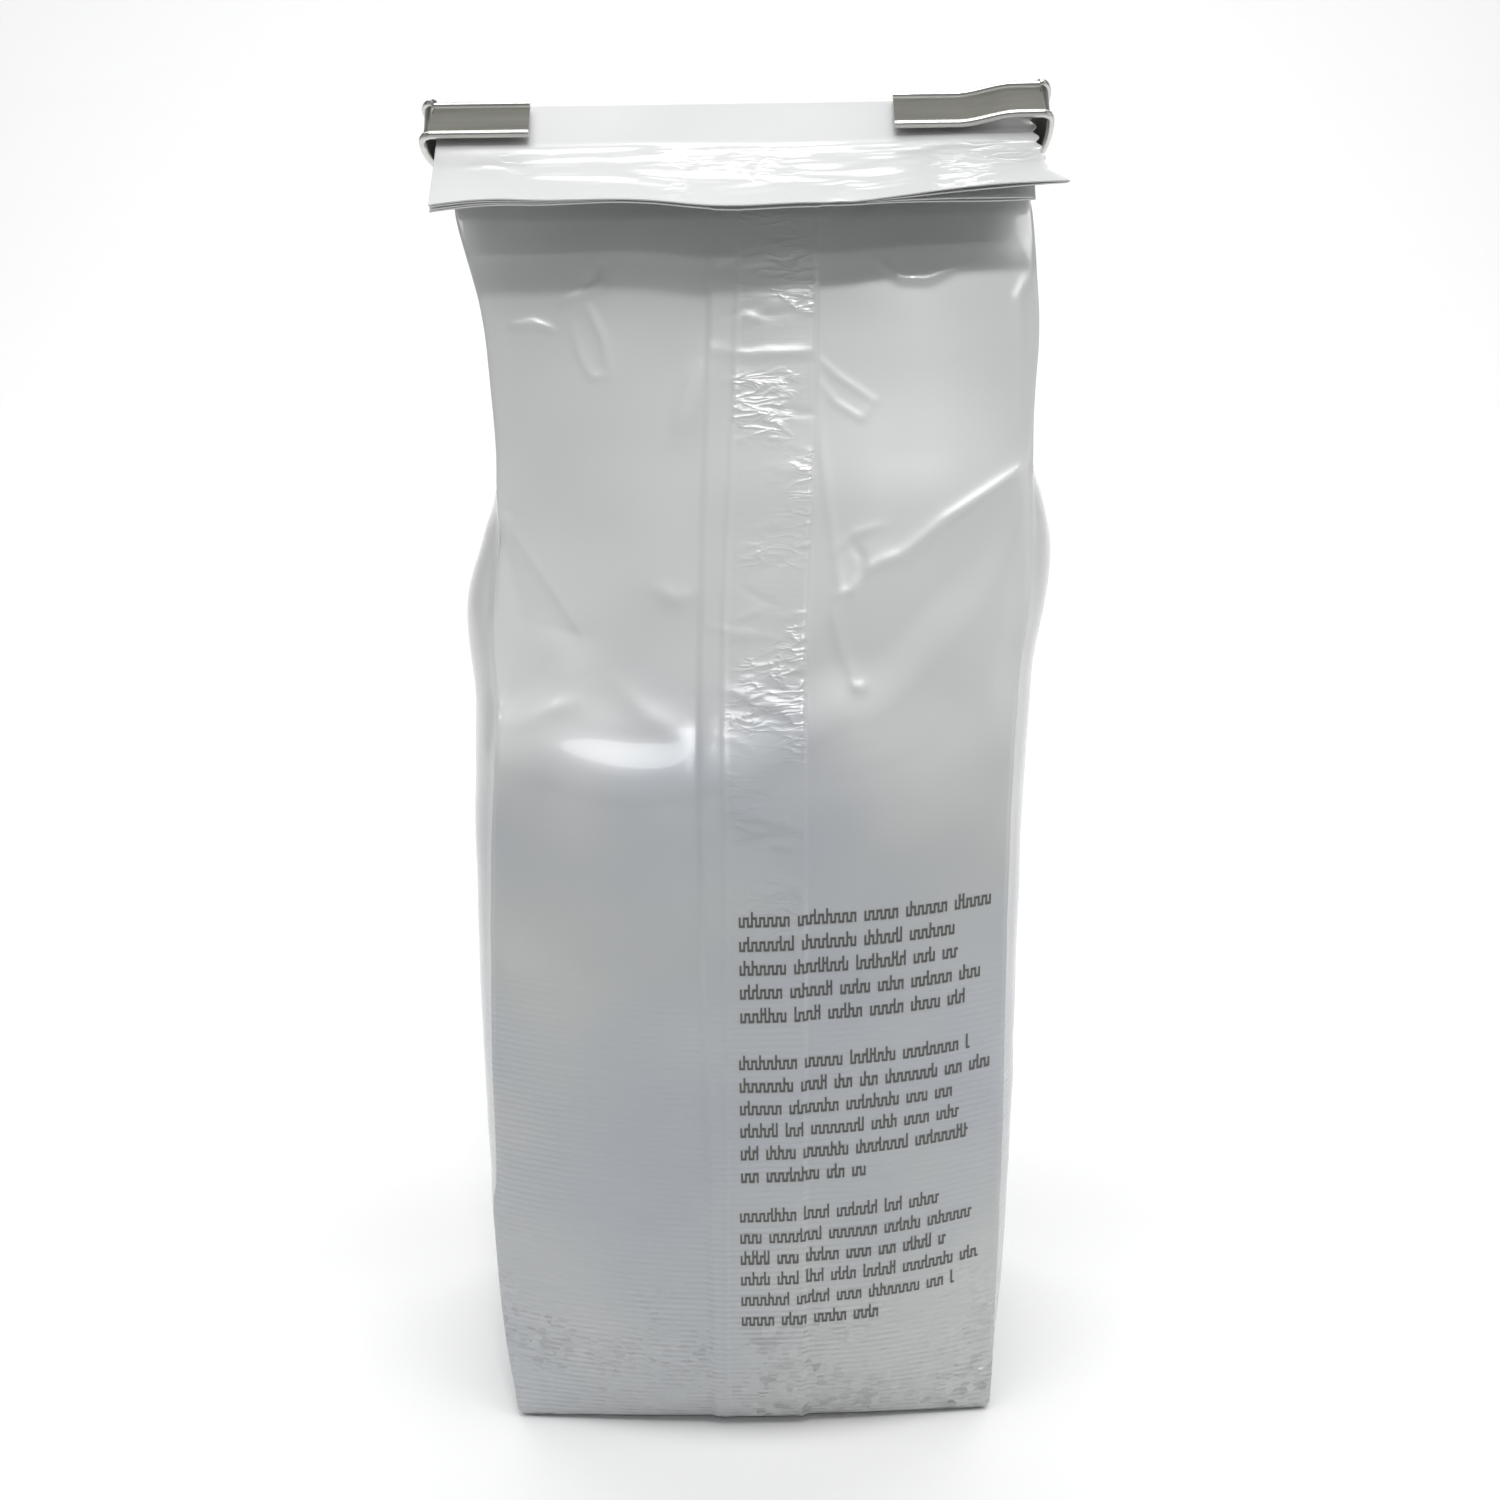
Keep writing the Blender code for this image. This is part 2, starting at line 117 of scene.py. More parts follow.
SEAM_STEP = 0.8
SEAM_LINE = (0.2, 0.4)
FLAP_EDGE = ((-46, 1.4), (-44, 0.6), (-36, -0.4), (-28, -0.2), (-18, -0.4), (-12, 0.0),
             (-4.5, 1.1), (1, 1.3), (9, 0.9), (16, 0.9), (22, 0.3), (31, -0.5), (41, -1.1),
             (46, -1.3))
FLAP_SPREAD = 2.0
FLAP_TIP = 2.0
LOWER_LEAF_IN = 0.6
LIP_THICK = 0.25


def along(table, at):
    """Read a table of (place, size) rows on a smooth curve, for many places."""
    at = np.asarray(at, float)
    xs = np.array([row[0] for row in table], float)
    ys = np.array([row[1] for row in table], float)
    slope = np.empty(len(xs))
    slope[1:-1] = (ys[2:] - ys[:-2]) / (xs[2:] - xs[:-2])
    slope[0] = (ys[1] - ys[0]) / (xs[1] - xs[0])
    slope[-1] = (ys[-1] - ys[-2]) / (xs[-1] - xs[-2])
    place = np.clip(at, xs[0], xs[-1])
    k = np.clip(np.searchsorted(xs, place, side="right") - 1, 0, len(xs) - 2)
    step = xs[k + 1] - xs[k]
    t = (place - xs[k]) / step
    return (ys[k] * (1 + 2 * t) * (1 - t) ** 2 + step * slope[k] * t * (1 - t) ** 2
            + ys[k + 1] * t * t * (3 - 2 * t) + step * slope[k + 1] * t * t * (t - 1))


def ease(value):
    value = np.clip(value, 0.0, 1.0)
    return value * value * (3.0 - 2.0 * value)


def crease(x, z, points, height, width, sharp=0.35):
    """A pressed line in the film: a crest of that height that fades at its ends."""
    nearest = np.full(np.shape(x), 1e9)
    place = np.zeros(np.shape(x))
    lengths = [math.dist(a, b) for a, b in zip(points, points[1:])]
    total = sum(lengths)
    run = 0.0
    for (ax, az), (bx, bz), length in zip(points, points[1:], lengths):
        dx = bx - ax
        dz = bz - az
        t = np.clip(((x - ax) * dx + (z - az) * dz) / length ** 2, 0, 1)
        gap = np.hypot(x - ax - t * dx, z - az - t * dz)
        closer = gap < nearest
        nearest = np.where(closer, gap, nearest)
        place = np.where(closer, (run + t * length) / total, place)
        run += length
    soft = np.sqrt(nearest ** 2 + (sharp * width) ** 2) - sharp * width
    body = np.exp(-(soft / width) ** 1.3)
    ends = 0.25 + 0.75 * np.sin(np.pi * np.clip(place, 0.02, 0.98)) ** 0.5
    return height * body * ends


def facet(x, z, corners, depth):
    """A flat-sided dent over a triangle, deepest in its middle."""
    inside = np.full(np.shape(x), 1e9)
    middle_x = sum(c[0] for c in corners) / 3
    middle_z = sum(c[1] for c in corners) / 3
    for (ax, az), (bx, bz) in zip(corners, corners[1:] + corners[:1]):
        nx = bz - az
        nz = ax - bx
        side = (middle_x - ax) * nx + (middle_z - az) * nz
        inside = np.minimum(inside, ((x - ax) * nx + (z - az) * nz) / side)
    inside = np.clip(inside, 0, None)
    return depth * (1 - np.exp(-1.6 * inside))


def ripple(x, z, high, size, seed):
    """Smooth uneven waves of about that height and length."""
    draw = random.Random(seed)
    total = np.zeros(np.shape(x))
    for _ in range(7):
        angle = draw.uniform(0, math.tau)
        length = size * draw.uniform(0.7, 1.6)
        turn = draw.uniform(0, math.tau)
        wave = (x * math.cos(angle) + z * math.sin(angle)) * math.tau / length
        total = total + np.sin(wave + turn + 0.8 * np.sin(0.37 * wave + 2 * turn))
    return high * total / 7


FRONT_CREASES = (
    (((-38.5, 121.7), (-32.0, 124.5), (-25.9, 126.4)), 0.35, 1.2),
    (((-38.4, 121.4), (-31.5, 129.0), (-24.5, 135.8)), -0.55, 1.5),
    (((-24.5, 135.5), (-28.0, 141.0), (-33.0, 149.0), (-38.0, 155.0)), -0.35, 2.6),
    (((-32.0, 139.0), (-29.0, 133.0), (-28.0, 129.0)), 0.35, 3.4),
    (((-40.2, 155.2), (-37.6, 154.8), (-35.6, 154.2)), -0.39, 0.5),
    (((44.6, 161.8), (38.2, 158.1), (30.2, 153.5), (23.9, 148.7), (19.3, 147.2)), 0.6, 0.8),
    (((11.5, 175.5), (11.9, 166.0), (13.0, 157.0), (13.9, 149.0)), 0.33, 0.43),
    (((14.2, 148.0), (14.6, 144.0), (13.7, 139.7), (14.9, 134.5), (16.9, 130.0)), 0.39, 0.62),
    (((16.5, 150.5), (18.0, 148.0), (17.4, 144.0)), -0.33, 0.56),
    (((19.3, 147.2), (16.4, 143.6), (14.2, 143.0)), 0.33, 0.5),
    (((13.9, 149.0), (17.0, 151.8), (21.0, 153.0)), 0.28, 0.5),
    (((16.3, 130.4), (17.2, 129.4), (18.0, 130.0)), 0.39, 0.56),
    (((12.8, 120.2), (21.3, 122.4), (29.9, 124.4)), -0.5, 2.4),
    (((-22.5, 191.1), (-21.3, 187.2), (-26.4, 185.3)), 0.4, 0.45),
    (((-20.5, 190.6), (-22.6, 187.9), (-24.2, 186.6)), -0.3, 0.43),
    (((-22.9, 184.5), (-20.6, 180.0), (-19.6, 174.9)), 0.4, 0.45),
    (((-34.3, 181.8), (-31.0, 182.2), (-28.0, 181.1)), 0.4, 0.43),
    (((-25.2, 181.7), (-24.2, 177.7), (-22.4, 174.2), (-19.6, 174.4)), 0.3, 0.45),
    (((-5.0, 177.0), (-6.6, 171.5), (-8.9, 165.5)), 0.8, 1.6),
    (((-7.4, 174.4), (-8.8, 170.0), (-9.8, 166.5)), 0.28, 0.56),
    (((20.8, 190.9), (24.5, 188.2), (28.5, 188.0), (31.7, 189.2)), 0.45, 0.45),
    (((11.6, 177.1), (14.4, 174.4), (20.1, 170.6)), 0.16, 0.36),
    (((20.1, 170.6), (18.3, 168.0), (14.3, 170.4), (12.0, 173.5)), 0.16, 0.36),
    (((-41.5, 84.0), (-37.0, 82.0), (-31.0, 83.5)), -0.5, 2.6),
    (((-39.2, 187.0), (-37.6, 178.0), (-36.9, 168.0)), 0.19, 0.5),
    (((-36.6, 183.0), (-35.8, 176.0), (-35.6, 170.0)), 0.14, 0.43),
    (((43.8, 193.0), (44.4, 189.0), (42.2, 185.0), (42.6, 178.0), (42.2, 167.0)), 0.25, 0.5),
    (((-13.0, 143.0), (-10.3, 141.6), (-7.6, 142.4)), 0.4, 1.3),
    (((-19.0, 128.6), (-15.0, 125.0), (-8.6, 121.6)), 0.3, 1.8),
    (((8.6, 8.0), (8.2, 3.5), (8.0, -1.0)), 0.28, 0.5),
    (((-7.0, 127.0), (-7.4, 120.0), (-7.1, 112.0)), -0.5, 1.2),
)
BACK_CREASES = (
    (((-43.0, 150.0), (-30.0, 140.0), (-18.0, 131.0)), 1.2, 1.8),
    (((42.0, 158.0), (30.0, 146.0), (16.0, 139.0), (6.0, 136.0)), 1.1, 1.8),
    (((-40.0, 126.0), (-26.0, 121.0), (-12.0, 122.0)), -1.0, 3.0),
    (((20.0, 176.0), (24.0, 166.0), (22.0, 156.0)), 0.8, 1.5),
    (((-30.0, 186.0), (-26.0, 178.0), (-21.0, 174.0)), 0.5, 1.3),
    (((4.0, 190.0), (-1.0, 182.0), (-3.0, 172.0)), 0.4, 1.4),
    (((-20.0, 131.0), (-12.0, 134.0), (-4.0, 131.0)), 0.5, 1.6),
)
LEFT_FACETS = (
    (((-38.6, 155.5), (-24.5, 135.8), (-38.6, 121.7)), -1.5),
)


def seal_wrinkles(seed, count, low, high, length, lean):
    """Short creases across a heat seal, at random places inside its box."""
    draw = random.Random(seed)
    rows = []
    for _ in range(count):
        x = draw.uniform(low[0], high[0])
        z = draw.uniform(low[1], high[1])
        half = 0.5 * draw.uniform(*length)
        tilt = draw.uniform(-lean, lean)
        bow = draw.uniform(-0.5, 0.5)
        points = ((x - half, z - half * tilt), (x, z + bow), (x + half, z + half * tilt))
        rows.append((points, draw.uniform(0.06, 0.17) * draw.choice((1, 1, -1)),
                     draw.uniform(0.25, 0.45)))
    return rows


SEAM_WRINKLES = (
    seal_wrinkles(3, 46, (-0.5, 138.0), (9.5, 194.0), (2.5, 8.0), 0.45)
    + seal_wrinkles(5, 18, (-2.5, 96.0), (8.0, 138.0), (3.0, 9.0), 0.35)
    + [(((-4.6, 178.4), (2.0, 177.4), (11.0, 177.8)), 0.3, 0.6),
       (((-2.6, 128.8), (4.0, 127.6), (8.4, 125.6)), 0.4, 0.7),
       (((-2.8, 112.4), (3.0, 111.0), (8.2, 109.4)), 0.35, 0.7)]
)
FLAP_WRINKLES = (
    seal_wrinkles(11, 46, (-16.0, 10.0), (23.0, 16.5), (4.0, 15.0), 0.10)
    + seal_wrinkles(13, 26, (-42.0, 9.5), (43.0, 17.5), (5.0, 18.0), 0.06)
    + [(((15.0, 20.0), (15.6, 17.4), (17.2, 15.6)), 0.45, 0.8),
       (((-40.0, 9.2), (-15.0, 9.0), (8.0, 9.4), (42.0, 8.8)), 0.25, 0.7)]
)


def panel_out(x, z, crown, fall, rows, half):
    across = 1.0 - np.clip(np.abs(x) / half, 0, 1) ** 2.2
    full = crown * (1.0 - np.exp(-(z + 0.5) / 9.0))
    rim = 0.25 + 0.75 * ease((half - np.abs(x)) / 2.5)
    out = full * fall * across
    for points, height, width in rows:
        out = out + crease(x, z, points, height, width) * rim
    out = out + ripple(x, z, *PANEL_WAVE) * rim * ease(z / 14)
    return out


def front_stand_out(x, z, half):
    """How far the seamed panel stands out of the plane of its side edges."""
    above = z - along(SHOULDER_LINE, x)
    past = z - along(RIDGE_LINE, x)
    climb = 0.5 * (past + np.sqrt(past ** 2 + RIDGE_SOFT ** 2))
    fall = (1.0 - SHOULDER_DROP * ease((above + SHOULDER_BELOW) / SHOULDER_RUN)
            - RIDGE_DROP * (1 - np.exp(-climb / RIDGE_RUN)) - UPPER_DROP * ease(above / UPPER_RUN))
    out = panel_out(x, z, CROWN_FRONT, fall, FRONT_CREASES, half)
    for corners, depth in LEFT_FACETS:
        out = out + facet(x, z, corners, depth)
    fade = ease((NECK_START - z) / NECK_FADE)
    lap = (ease((x - along(SEAM_LEFT, z)) / SEAM_STEP + 0.5)
           * ease((along(SEAM_RIGHT, z) - x) / SEAM_STEP + 0.5))
    line_high, line_wide = SEAM_LINE
    inner = np.exp(-((x - along(SEAM_INNER, z)) / line_wide) ** 2)
    seam = SEAM_RAISE * lap + line_high * inner * lap
    for points, height, width in SEAM_WRINKLES:
        seam = seam + crease(x, z, points, height, width) * lap
    return out * fade + seam * (0.4 + 0.6 * fade)


def back_stand_out(x, z, half):
    fall = 1.0
    for start, run, drop in (BACK_SHOULDER, BACK_UPPER):
        fall = fall - drop * ease((z - start) / run)
    out = panel_out(x, z, CROWN_BACK, fall, BACK_CREASES, half)
    return out * ease((NECK_START - z) / NECK_FADE)


WALL_STEPS = ((BOTTOM_ROUND, 30.0, 20), (30.0, 105.0, 30), (105.0, NECK_START, 204))
MOUTH_DEEP = (0.0, 2.5, 5.0)


def film_rows():
    """Levels up the bag, round the fold and down the flap, with each ring's place."""
    rows = []
    for i in range(BOTTOM_STEPS + 1):
        level = BOTTOM_ROUND * (1 - math.cos(math.pi / 2 * i / BOTTOM_STEPS))
        rows.append((level, 0.0, level, -1.0, 0.0, 0.0, 0.0))
    for low, high, steps in WALL_STEPS:
        for i in range(1, steps + 1):
            z = low + (high - low) * i / steps
            middle = NECK_Y * float(ease((z - NECK_LEAN_START) / (NECK_START - NECK_LEAN_START)))
            rows.append((z, middle, z, -1.0, 0.0, 0.0, 0.0))
    for i in range(1, NECK_STEPS + 1):
        z = NECK_START + (BAG_FOLD_HEIGHT - NECK_START) * i / NECK_STEPS
        rows.append((z, NECK_Y, z, -1.0, 0.0, 0.0, 0.0))
    for i in range(1, FOLD_STEPS + 1):
        turn = FOLD_TURN * i / FOLD_STEPS
        rows.append((BAG_FOLD_HEIGHT, NECK_Y - FOLD_RADIUS + FOLD_RADIUS * math.cos(turn),
                     BAG_FOLD_HEIGHT + FOLD_RADIUS * math.sin(turn),
                     -math.cos(turn), -math.sin(turn), 0.0, 0.0))
    last = rows[-1]
    runs = [(FLAP_LENGTH * i / FLAP_STEPS, 0.0) for i in range(1, FLAP_STEPS + 1)]
    runs += [(FLAP_LENGTH - deep, 1.0) for deep in MOUTH_DEEP]
    for run, lip in runs:
        rows.append((BAG_FOLD_HEIGHT, last[1] + last[4] * run, last[2] - last[3] * run,
                     last[3], last[4], run, lip))
    return np.array(rows)


CORNER_COLUMNS = 6
PANEL_PARTS = ((0, 60), (1, 4), (2, 40), (3, 4), (4, 58))
BACK_COLUMNS = 56
GUSSET_COLUMNS = 20
CUTS_IN_FOUR = 3


def film_points():
    """Rings of points as an array of rows, columns and x, y, z."""
    rows = film_rows()
    level, mid_y, mid_z, out_y, out_z, run, lip = rows.T[:, :, None]
    mouth = run / FLAP_LENGTH
    edge_noise = ripple(level * 0, level, *EDGE_WAVE)
    left_in = along(LEFT_CREASE_IN, level)
    right_in = along(RIGHT_CREASE_IN, level)
    half_left = along(LEFT_EDGE, level) + 0.3 * mouth + edge_noise - left_in
    half_right = along(RIGHT_EDGE, level) - edge_noise - right_in - LOWER_LEAF_IN * mouth
    crinkled = 0.35 * np.sin(run * 2.4) * ease(run / 4) * (1 - ease((mouth - 0.6) / 0.3))
    tip = (FLAP_SPREAD + LOWER_LEAF_IN) * mouth ** 2 + FLAP_TIP * ease((mouth - 0.8) / 0.2)
    tip = tip + crinkled
    inward = BOTTOM_ROUND * (1 - np.sqrt(1 - (1 - np.clip(level / BOTTOM_ROUND, 0, 1)) ** 2))
    edge_left = along(LEFT_DEPTH, level)
    edge_right = along(RIGHT_DEPTH, level)
    folded = ease((level - (NECK_START - 6)) / 6.0)
    corner = PANEL_CORNER + (LEAF_THICK - PANEL_CORNER) * folded
    open_left = 0.16 + 0.25 * mouth ** 3
    open_right = 0.16 + 1.3 * mouth ** 1.5
    slot_left = (edge_left - corner) * (1 - folded) + open_left * folded
    slot_right = (edge_right - corner) * (1 - folded) + open_right * folded
    half_left = half_left - inward
    half_right = half_right - inward

    def depth_at(x):
        slot = slot_left + (slot_right - slot_left) * ease((x + 34) / 68)
        half = np.where(x < 0, half_left, half_right)
        part = np.clip(np.abs(x) / half, 0, 1)
        edge_open = slot + corner
        thin = NECK_HALF_THICK + (edge_open - NECK_HALF_THICK) * ease((part - 0.35) / 0.6)
        return edge_open * (1 - folded) + thin * folded - inward

    def half_at(x):
        return np.where(x < 0, half_left, half_right) + inward

    inner_left = -half_left + 0.5 * corner
    inner_right = half_right - 0.5 * corner
    seam_l = along(SEAM_LEFT, level)
    seam_r = along(SEAM_RIGHT, level)
    knots = (inner_left, seam_l - SEAM_STEP, seam_l + SEAM_STEP,
             seam_r - SEAM_STEP, seam_r + SEAM_STEP, inner_right)
    front = []
    for part, count in PANEL_PARTS:
        t = np.arange(count)[None, :] / count
        front.append(knots[part] + (knots[part + 1] - knots[part]) * t)
    front.append(inner_right)
    x_front = np.concatenate(front, axis=1)
    fore = depth_at(x_front) + front_stand_out(x_front, level, half_at(x_front))
    t = np.arange(BACK_COLUMNS + 1)[None, :] / BACK_COLUMNS
    x_back = inner_left + (inner_right + tip - inner_left) * t
    flap_relief = np.zeros(np.shape(x_back + run))
    for points, height, width in FLAP_WRINKLES:
        flap_relief = flap_relief + crease(x_back, run, points, height, width)
    flap_relief = flap_relief * ease(run / 6) * 0.8
    flap_relief = flap_relief + ripple(x_back, run, *FLAP_WAVE) * ease(run / 8)
    aft = -(depth_at(x_back) + back_stand_out(x_back, level, half_at(x_back)) + flap_relief)

    def side(sign, half, slot, crease_in, swell_top, fold_in, spread):
        """Corner, gusset and corner, from the front edge to the back edge."""
        filled = 1 - ease((level - fold_in[0]) / (fold_in[1] - fold_in[0]))
        swelled = 1 - ease((level - swell_top[0]) / (swell_top[1] - swell_top[0]))
        turn = np.linspace(0, 1, CORNER_COLUMNS + 1)[None, 1:]
        angle = np.pi / 2 - turn * np.pi * (1 - 0.5 * filled)
        bead = 0.5 * corner
        front_x = sign * (half - bead + bead * np.cos(angle))
        front_out = slot + bead + bead * np.sin(angle) - inward
        even = np.linspace(1, -1, GUSSET_COLUMNS + 2)
        u = (0.5 * even + 0.5 * np.sin(even * np.pi / 2))[None, 1:-1]
        inset = np.sqrt(np.clip(GUSSET_HALF ** 2 - slot ** 2, 0, None)) * (1 - filled)
        swell = (GUSSET_SWELL + SWELL_PER_INSET * crease_in) * ease(level / 25.0) * swelled
        high, length, seed = GUSSET_WAVE
        wave = ripple(u * 20, level, high, length, seed + sign) * (1 - u * u) * ease(level / 20)
        fold = 0.5 * np.exp(-np.abs(u) * 9) * (1 - folded)
        into = (inset * (1 - np.abs(u)) - swell * (1 - np.abs(u) ** 5) + bead * (1 - filled)
                + wave * (1 - folded) + fold * ease(level / 12))
        mid_x = sign * (half - into + spread * (1 - u) / 2)
        mid_out = u * (slot - inward + bead * filled)
        back_angle = angle[:, ::-1]
        back_x = sign * (half + spread - bead + bead * np.cos(back_angle))
        back_out = -(slot + bead + bead * np.sin(back_angle) - inward)
        return (np.concatenate((front_x, mid_x, back_x), axis=1),
                np.concatenate((front_out, mid_out, back_out), axis=1))

    right_x, right_out = side(1, half_right, slot_right, right_in, RIGHT_SWELL_TOP,
                              RIGHT_FOLD_IN, tip)
    left_x, left_out = side(-1, half_left, slot_left, left_in, LEFT_SWELL_TOP, LEFT_FOLD_IN,
                            np.zeros_like(mouth))
    xs = np.concatenate((x_front, right_x, x_back[:, ::-1], left_x[:, ::-1]), axis=1)
    outs = np.concatenate((fore, right_out, aft[:, ::-1], left_out[:, ::-1]), axis=1)
    xs = xs * (1 - lip * LIP_THICK / 30)
    outs = outs - lip * np.sign(outs) * np.minimum(0.6 * np.abs(outs), LIP_THICK)
    longer = along(FLAP_EDGE, xs) * ease((mouth - 0.3) / 0.7)
    ys = mid_y + out_y * outs + out_z * longer
    zs = mid_z + out_z * outs - out_y * longer
    grid = np.stack((xs, ys, zs), axis=2)
    return grid, rows


def clear_selection():
    if bpy.context.mode != "OBJECT":
        bpy.ops.object.mode_set(mode="OBJECT")
    bpy.ops.object.select_all(action="DESELECT")


def only(piece):
    clear_selection()
    piece.select_set(True)
    bpy.context.view_layer.objects.active = piece


film_grid, film_levels = film_points()
ring_count, column_count = film_grid.shape[:2]
cad_low, cad_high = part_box("bag")
raw_low = film_grid.reshape(-1, 3).min(axis=0) * MM
raw_high = film_grid.reshape(-1, 3).max(axis=0) * MM
SHIFT = Vector(((cad_low[0] + cad_high[0] - raw_low[0] - raw_high[0]) / 2,
                (cad_low[1] + cad_high[1] - raw_low[1] - raw_high[1]) / 2, 0.0))

clear_selection()
bpy.ops.mesh.primitive_cylinder_add(vertices=column_count, radius=0.04, depth=0.2,
                                    end_fill_type="NOTHING")
film = bpy.context.object
film.name = "film_bag"
for cuts in ((ring_count - 1) // (CUTS_IN_FOUR + 1) - 1, CUTS_IN_FOUR):
    bpy.ops.object.mode_set(mode="EDIT")
    bpy.ops.mesh.select_mode(type="EDGE")
    bpy.ops.mesh.select_all(action="DESELECT")
    bpy.ops.object.mode_set(mode="OBJECT")
    for edge_line in film.data.edges:
        ends = [film.data.vertices[v].co.z for v in edge_line.vertices]
        edge_line.select = abs(ends[0] - ends[1]) > 0.0001
    bpy.ops.object.mode_set(mode="EDIT")
    bpy.ops.mesh.subdivide(number_cuts=cuts)
    bpy.ops.object.mode_set(mode="OBJECT")

count = len(film.data.vertices)
spots = np.empty(count * 3)
film.data.vertices.foreach_get("co", spots)
spots = spots.reshape(-1, 3)
turns = np.arctan2(spots[:, 1], spots[:, 0])
columns = np.rint((turns - math.pi / 2) / math.tau * column_count).astype(int) % column_count
heights = np.rint((spots[:, 2] + 0.1) / 0.2 * (ring_count - 1)).astype(int)
shift = np.array(SHIFT)
placed = film_grid[heights, columns] * MM + shift
film.data.vertices.foreach_set("co", placed.ravel())
film.data.update()

for open_ring in (0, ring_count - 1):
    bpy.ops.object.mode_set(mode="EDIT")
    bpy.ops.mesh.select_all(action="DESELECT")
    bpy.ops.object.mode_set(mode="OBJECT")
    for edge_line in film.data.edges:
        edge_line.select = all(heights[v] == open_ring for v in edge_line.vertices)
    bpy.ops.object.mode_set(mode="EDIT")
    bpy.ops.mesh.edge_face_add()
bpy.ops.mesh.select_all(action="SELECT")
bpy.ops.mesh.normals_make_consistent(inside=False)
bpy.ops.object.mode_set(mode="OBJECT")
only(film)
bpy.ops.object.shade_smooth_by_angle(angle=math.radians(60))

count = len(film.data.vertices)
spots = np.empty(count * 3)
film.data.vertices.foreach_get("co", spots)
spots = (spots.reshape(-1, 3) - shift) / MM
seal = film.data.attributes.new("seal", "FLOAT", "POINT")
in_front = spots[:, 1] < -1.0
levels = np.clip(spots[:, 2], 0, 205)
seam_mask = (ease((spots[:, 0] - along(SEAM_INNER, levels)) / 1.0 + 0.5)
             * ease((along(SEAM_RIGHT, levels) - spots[:, 0]) / 1.0 + 0.5) * in_front
             * ease((levels - 60) / 60) * (spots[:, 2] < 200))
flap_run = film_levels[heights, 5]
flap_mask = 0.5 * ease((flap_run - 8.5) / 1.5)
seal.data.foreach_set("value", np.maximum(seam_mask, flap_mask))


def colour(hex_value):
    """An sRGB hex colour as linear red, green, blue and alpha."""
    parts = [int(hex_value[i:i + 2], 16) / 255 for i in (1, 3, 5)]
    linear = [p / 12.92 if p <= 0.04045 else ((p + 0.055) / 1.055) ** 2.4 for p in parts]
    return (*linear, 1.0)


def node(tree, kind, settings=None, **links):
    """Add a node, set its properties, and feed its inputs with values or sockets."""
    made = tree.nodes.new(kind)
    for name, value in (settings or {}).items():
        setattr(made, name, value)
    for name, value in links.items():
        key = name.replace("_", " ")
        if key.startswith("in") and key[2:].isdigit():
            socket = made.inputs[int(key[2:])]
        else:
            socket = made.inputs[key]
        if isinstance(value, bpy.types.NodeSocket):
            tree.links.new(value, socket)
        else:
            socket.default_value = value
    return made


def new_material(name):
    material = bpy.data.materials.new(name)
    material.use_nodes = True
    tree = material.node_tree
    tree.nodes.clear()
    shader = node(tree, "ShaderNodeBsdfPrincipled")
    output = node(tree, "ShaderNodeOutputMaterial")
    tree.links.new(shader.outputs[0], output.inputs[0])
    return material, tree, shader


# Laminated film of clear gloss polyester over a pearl-white layer: pale grey with
# a sharp gloss, fine ribs about a millimetre apart from the rollers, and small
# facets low down where the grounds press on it. Lengths here are in metres.
RIB_PITCH = 0.00105
RIB_RISE = 0.00011
RIBS_FADE = (0.092, 0.055)
GRAINS_PER_METRE = 640.0
GRAINS_FADE = (0.040, 0.010)
CRINKLES_PER_METRE = (230.0, 620.0, 620.0)
CRINKLE_RISE = 0.0004
PATCHES_PER_METRE = 75.0
TINTS_PER_METRE = 22.0
# Below this height the film is coloured with painted shade, above it with painted light.
SHADE_EDGE = (0.128, 0.156)
SHADE_EDGE_WANDER = 0.05
SHADED_LOW_TONES = ("#ABAFB5", "#B9BBB9")
LIT_HIGH_TONES = ("#C5C6C6", "#D3D4D3")
film_material, tree, shader = new_material("pearl_laminate_film")
place = node(tree, "ShaderNodeTexCoord").outputs["Object"]
height = node(tree, "ShaderNodeSeparateXYZ", in0=place).outputs["Z"]
ribs = node(tree, "ShaderNodeTexWave",
            {"wave_type": "BANDS", "bands_direction": "Z", "wave_profile": "SIN"},
            Vector=place, Scale=math.tau / (20 * RIB_PITCH), Distortion=1.2, Detail=1.0,
            Detail_Scale=0.6)
grains = node(tree, "ShaderNodeTexVoronoi", Vector=place, Scale=GRAINS_PER_METRE)
crinkle_place = node(tree, "ShaderNodeMapping", Vector=place, Scale=CRINKLES_PER_METRE)
crinkle = node(tree, "ShaderNodeTexNoise",
               {"noise_type": "RIDGED_MULTIFRACTAL", "normalize": True},
               Vector=crinkle_place.outputs[0], Scale=1.0, Detail=2.0, Roughness=0.5,
               Lacunarity=2.1, Offset=0.9, Gain=1.6, Distortion=0.5)
patches = node(tree, "ShaderNodeTexNoise", Vector=place, Scale=PATCHES_PER_METRE, Detail=1.0)
patchy = node(tree, "ShaderNodeMapRange", {"interpolation_type": "SMOOTHSTEP"},
              Value=patches.outputs["Fac"], From_Min=0.46, From_Max=0.66, To_Min=0.06,
              To_Max=1.0)
seal_read = node(tree, "ShaderNodeAttribute", {"attribute_name": "seal"}).outputs["Fac"]
low_down = node(tree, "ShaderNodeMapRange", {"interpolation_type": "SMOOTHSTEP"},
                Value=height, From_Min=GRAINS_FADE[0], From_Max=GRAINS_FADE[1], To_Min=0.0,
                To_Max=1.0)
rib_depth = node(tree, "ShaderNodeMapRange", {"interpolation_type": "SMOOTHSTEP"},
                 Value=height, From_Min=RIBS_FADE[0], From_Max=RIBS_FADE[1], To_Min=0.0,
                 To_Max=1.0)
